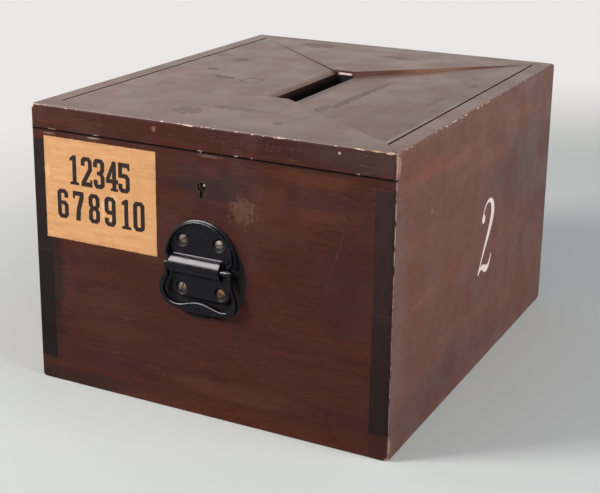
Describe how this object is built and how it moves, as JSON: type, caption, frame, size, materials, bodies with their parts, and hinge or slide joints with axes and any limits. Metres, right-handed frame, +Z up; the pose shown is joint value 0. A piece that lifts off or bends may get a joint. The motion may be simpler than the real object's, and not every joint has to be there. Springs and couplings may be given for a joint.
{
  "type": "ballot box",
  "caption": "Dovetailed wooden ballot box with a sliding lid that funnels papers to a long slot, a lock in the front and a drop handle on each end.",
  "frame": {"origin": "under the middle of the box, on the plane that it stands on", "axes": "+Z up, the lid on top; -Y is the front with the keyhole; +X is the right as seen from the front; the lid slides along -Y"},
  "size_m": [0.376, 0.472, 0.28],
  "materials": {
    "varnished_board": "dark red-brown varnish, satin, worn pale along the edges",
    "varnished_side_board": "brown varnish, satin, scratched",
    "varnished_lid": "brown varnish, satin, handled and stained",
    "bare_board": "unfinished, dusty",
    "black_japanned_iron": "glossy black, rubbed",
    "dull_steel": "dull, tarnished",
    "old_brass": "dull, tarnished",
    "label_paper": "matt, mottled"
  },
  "bodies": {
    "case": {"front_board": "varnished_board", "back_board": "varnished_board", "left_side_board": "varnished_side_board", "right_side_board": "varnished_side_board", "bottom_board": "bare_board", "bottom_screws": "dull_steel", "keyhole_liner": "old_brass", "lock_plate": "dull_steel", "lock_cap": "dull_steel", "lock_spring": "dull_steel", "lock_ward": "dull_steel", "key_pin": "dull_steel", "lock_screws": "dull_steel", "front_handle_plate": "black_japanned_iron", "front_handle_screws": "dull_steel", "front_handle_brass_screw": "old_brass", "rear_handle_plate": "black_japanned_iron", "rear_handle_screws": "dull_steel", "front_label": "label_paper"},
    "lid": {"lid_panel": "varnished_lid", "lid_front_rail": "varnished_board", "strike_plate": "dull_steel", "strike_screws": "dull_steel"},
    "lock_bolt": {"lock_bolt": "dull_steel"},
    "front_bail": {"front_handle_bail": "black_japanned_iron"},
    "rear_bail": {"rear_handle_bail": "black_japanned_iron"}
  },
  "joints": [
    {"name": "lid_slide", "type": "slide", "parent": "case", "child": "lid", "axis": [0, -1, 0], "range_m": [0, 0.445]},
    {"name": "bolt_throw", "type": "slide", "parent": "case", "child": "lock_bolt", "axis": [0, 0, 1], "range_m": [0, 0.007]},
    {"name": "front_bail_swing", "type": "hinge", "parent": "case", "child": "front_bail", "pos_m": [0, -0.23175, 0.149], "axis": [-1, 0, 0], "range_deg": [-3, 95]},
    {"name": "rear_bail_swing", "type": "hinge", "parent": "case", "child": "rear_bail", "pos_m": [0, 0.23175, 0.149], "axis": [1, 0, 0], "range_deg": [-3, 95]}
  ]
}
